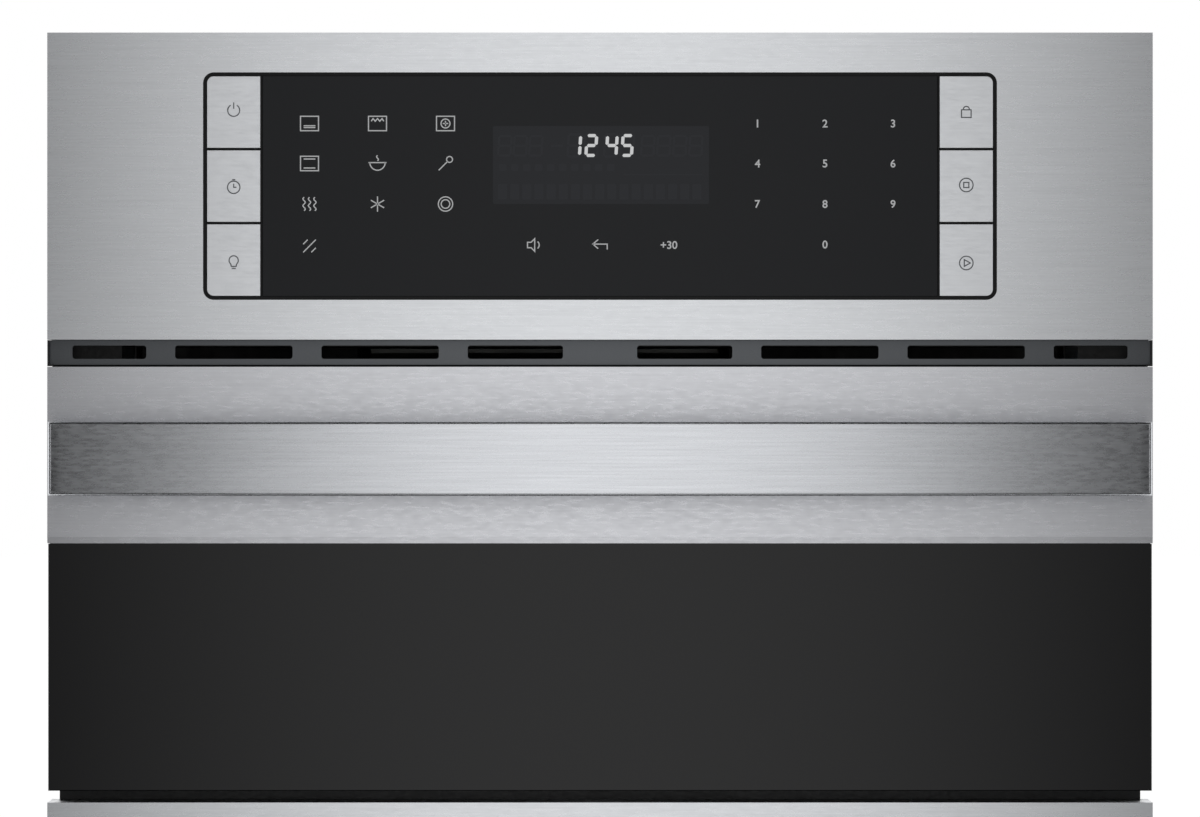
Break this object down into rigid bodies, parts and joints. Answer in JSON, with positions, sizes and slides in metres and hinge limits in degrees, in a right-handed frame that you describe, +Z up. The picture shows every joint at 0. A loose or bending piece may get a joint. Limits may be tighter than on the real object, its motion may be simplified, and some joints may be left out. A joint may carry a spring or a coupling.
{
  "type": "combination wall oven",
  "caption": "Built-in double oven: a microwave convection oven with touch controls above a larger oven, each with a drop-down door and a full-width bowed handle.",
  "frame": {"origin": "middle of the overall box, at the level of the base runners", "axes": "+Z up, +X to the right of someone facing the doors, +Y from the doors to the back"},
  "size_m": [0.756, 0.674, 1.2572],
  "materials": {
    "stainless_steel": "brushed stainless steel, grain across the front",
    "handle_metal": "brushed stainless bar, grain along its length",
    "black_door_glass": "tinted near-black tempered glass",
    "black_touch_glass": "black back-painted glass, satin gloss",
    "clear_glass": "clear tempered glass",
    "bezel_black": "fine-textured black moulding",
    "vent_grey": "satin dark grey paint",
    "galvanised_sheet": "hot-dip galvanised sheet with a fine spangle",
    "frame_black": "semi-gloss black paint",
    "cavity_enamel": "dark speckled porcelain enamel",
    "cavity_steel": "plain drawn stainless steel",
    "rack_chrome": "bright nickel chrome wire",
    "element_sheath": "oxidised heater sheath",
    "mineral_wool": "mineral wool blanket",
    "seal_braid": "grey woven door seal",
    "mica_sheet": "pale mica sheet",
    "circuit_board": "green solder resist",
    "motor_metal": "zinc-plated steel",
    "core_iron": "varnished iron laminations",
    "gland_plastic": "black nylon",
    "screw_steel": "zinc-plated pan-head screw",
    "lamp_glass": "heat-proof frosted lens",
    "block_plastic": "off-white switch moulding"
  },
  "bodies": {
    "chassis": {"base_pan": "galvanised_sheet", "side_panels": "galvanised_sheet", "back_panel": "galvanised_sheet", "top_panel": "galvanised_sheet", "conduit_bush": "gland_plastic", "shelves": "galvanised_sheet", "face_frame": "frame_black", "frame_screws": "screw_steel", "upper_cavity": "cavity_steel", "port_cover": "mica_sheet", "lower_cavity": "cavity_enamel", "heating_elements": "element_sheath", "cavity_wool": "mineral_wool", "oven_lamps": "lamp_glass", "door_seal": "seal_braid", "fan_covers": "cavity_steel", "blower_housings": "motor_metal", "motors": "motor_metal", "magnetron": "motor_metal", "transformer": "core_iron", "upper_fascia": "stainless_steel", "lower_fascia": "stainless_steel", "insert_bezels": "bezel_black", "touch_glasses": "black_touch_glass", "control_boards": "circuit_board", "vent_trims": "vent_grey", "bottom_trim": "stainless_steel", "hinge_arms": "motor_metal", "interlock_blocks": "block_plastic"},
    "upper_door": {"upper_door_skin": "stainless_steel", "upper_door_glass": "black_door_glass", "upper_door_pan": "frame_black", "upper_door_window": "clear_glass", "upper_handle": "handle_metal", "upper_door_hinges": "motor_metal"},
    "lower_door": {"lower_door_skin": "stainless_steel", "lower_door_glass": "black_door_glass", "lower_door_pan": "frame_black", "lower_door_window": "clear_glass", "lower_handle": "handle_metal", "lower_door_hinges": "motor_metal"},
    "upper_fan": {"upper_fan": "motor_metal"},
    "lower_fan": {"lower_fan": "motor_metal"},
    "upper_blower": {"upper_blower": "motor_metal"},
    "lower_blower": {"lower_blower": "motor_metal"},
    "upper_rack": {"upper_rack": "rack_chrome"},
    "lower_rack": {"lower_rack": "rack_chrome"},
    "roller_ring": {"roller_ring": "block_plastic"},
    "turntable": {"turntable_plate": "clear_glass", "turntable_coupler": "block_plastic"},
    "upper_key_left_top": {"upper_key_left_top": "stainless_steel"},
    "upper_key_left_middle": {"upper_key_left_middle": "stainless_steel"},
    "upper_key_left_bottom": {"upper_key_left_bottom": "stainless_steel"},
    "upper_key_right_top": {"upper_key_right_top": "stainless_steel"},
    "upper_key_right_middle": {"upper_key_right_middle": "stainless_steel"},
    "upper_key_right_bottom": {"upper_key_right_bottom": "stainless_steel"},
    "lower_key_left_top": {"lower_key_left_top": "stainless_steel"},
    "lower_key_left_bottom": {"lower_key_left_bottom": "stainless_steel"},
    "lower_key_right_top": {"lower_key_right_top": "stainless_steel"},
    "lower_key_right_bottom": {"lower_key_right_bottom": "stainless_steel"}
  },
  "joints": [
    {"name": "upper_door_hinge", "type": "hinge", "parent": "chassis", "child": "upper_door", "pos_m": [0, -0.27, 0.7536], "axis": [1, 0, 0], "range_deg": [0, 90], "stiffness_Nm_per_rad": 4, "springref_deg": -17.19},
    {"name": "lower_door_hinge", "type": "hinge", "parent": "chassis", "child": "lower_door", "pos_m": [0, -0.27, 0.069], "axis": [1, 0, 0], "range_deg": [0, 90], "stiffness_Nm_per_rad": 8, "springref_deg": -14.32},
    {"name": "upper_rack_slide", "type": "slide", "parent": "chassis", "child": "upper_rack", "axis": [0, -1, 0], "range_m": [0, 0.25]},
    {"name": "lower_rack_slide", "type": "slide", "parent": "chassis", "child": "lower_rack", "axis": [0, -1, 0], "range_m": [0, 0.25]},
    {"name": "turntable_spin", "type": "hinge", "parent": "chassis", "child": "turntable", "pos_m": [0, -0.048, 0.79], "axis": [0, 0, 1], "continuous": true},
    {"name": "roller_ring_spin", "type": "hinge", "parent": "chassis", "child": "roller_ring", "pos_m": [0, -0.048, 0.786], "axis": [0, 0, 1], "continuous": true},
    {"name": "upper_fan_spin", "type": "hinge", "parent": "chassis", "child": "upper_fan", "pos_m": [0, 0.17, 0.8866], "axis": [0, 1, 0], "continuous": true},
    {"name": "lower_fan_spin", "type": "hinge", "parent": "chassis", "child": "lower_fan", "pos_m": [0, 0.21, 0.308], "axis": [0, 1, 0], "continuous": true},
    {"name": "upper_blower_spin", "type": "hinge", "parent": "chassis", "child": "upper_blower", "pos_m": [-0.04, -0.05, 1.0646], "axis": [1, 0, 0], "continuous": true},
    {"name": "lower_blower_spin", "type": "hinge", "parent": "chassis", "child": "lower_blower", "pos_m": [-0.04, -0.05, 0.598], "axis": [1, 0, 0], "continuous": true},
    {"name": "upper_key_left_top_press", "type": "slide", "parent": "chassis", "child": "upper_key_left_top", "axis": [0, 1, 0], "range_m": [0, 0.0006], "stiffness_N_per_m": 1500, "springref_m": -0.0004},
    {"name": "upper_key_left_middle_press", "type": "slide", "parent": "chassis", "child": "upper_key_left_middle", "axis": [0, 1, 0], "range_m": [0, 0.0006], "stiffness_N_per_m": 1500, "springref_m": -0.0004},
    {"name": "upper_key_left_bottom_press", "type": "slide", "parent": "chassis", "child": "upper_key_left_bottom", "axis": [0, 1, 0], "range_m": [0, 0.0006], "stiffness_N_per_m": 1500, "springref_m": -0.0004},
    {"name": "upper_key_right_top_press", "type": "slide", "parent": "chassis", "child": "upper_key_right_top", "axis": [0, 1, 0], "range_m": [0, 0.0006], "stiffness_N_per_m": 1500, "springref_m": -0.0004},
    {"name": "upper_key_right_middle_press", "type": "slide", "parent": "chassis", "child": "upper_key_right_middle", "axis": [0, 1, 0], "range_m": [0, 0.0006], "stiffness_N_per_m": 1500, "springref_m": -0.0004},
    {"name": "upper_key_right_bottom_press", "type": "slide", "parent": "chassis", "child": "upper_key_right_bottom", "axis": [0, 1, 0], "range_m": [0, 0.0006], "stiffness_N_per_m": 1500, "springref_m": -0.0004},
    {"name": "lower_key_left_top_press", "type": "slide", "parent": "chassis", "child": "lower_key_left_top", "axis": [0, 1, 0], "range_m": [0, 0.0006], "stiffness_N_per_m": 1500, "springref_m": -0.0004},
    {"name": "lower_key_left_bottom_press", "type": "slide", "parent": "chassis", "child": "lower_key_left_bottom", "axis": [0, 1, 0], "range_m": [0, 0.0006], "stiffness_N_per_m": 1500, "springref_m": -0.0004},
    {"name": "lower_key_right_top_press", "type": "slide", "parent": "chassis", "child": "lower_key_right_top", "axis": [0, 1, 0], "range_m": [0, 0.0006], "stiffness_N_per_m": 1500, "springref_m": -0.0004},
    {"name": "lower_key_right_bottom_press", "type": "slide", "parent": "chassis", "child": "lower_key_right_bottom", "axis": [0, 1, 0], "range_m": [0, 0.0006], "stiffness_N_per_m": 1500, "springref_m": -0.0004}
  ],
  "couplings": [
    {"joint": "upper_rack_slide", "follows": "lower_door_hinge", "m_per_rad": 0.159},
    {"joint": "lower_rack_slide", "follows": "lower_door_hinge", "m_per_rad": 0.159},
    {"joint": "roller_ring_spin", "follows": "turntable_spin", "ratio": 0.5}
  ]
}
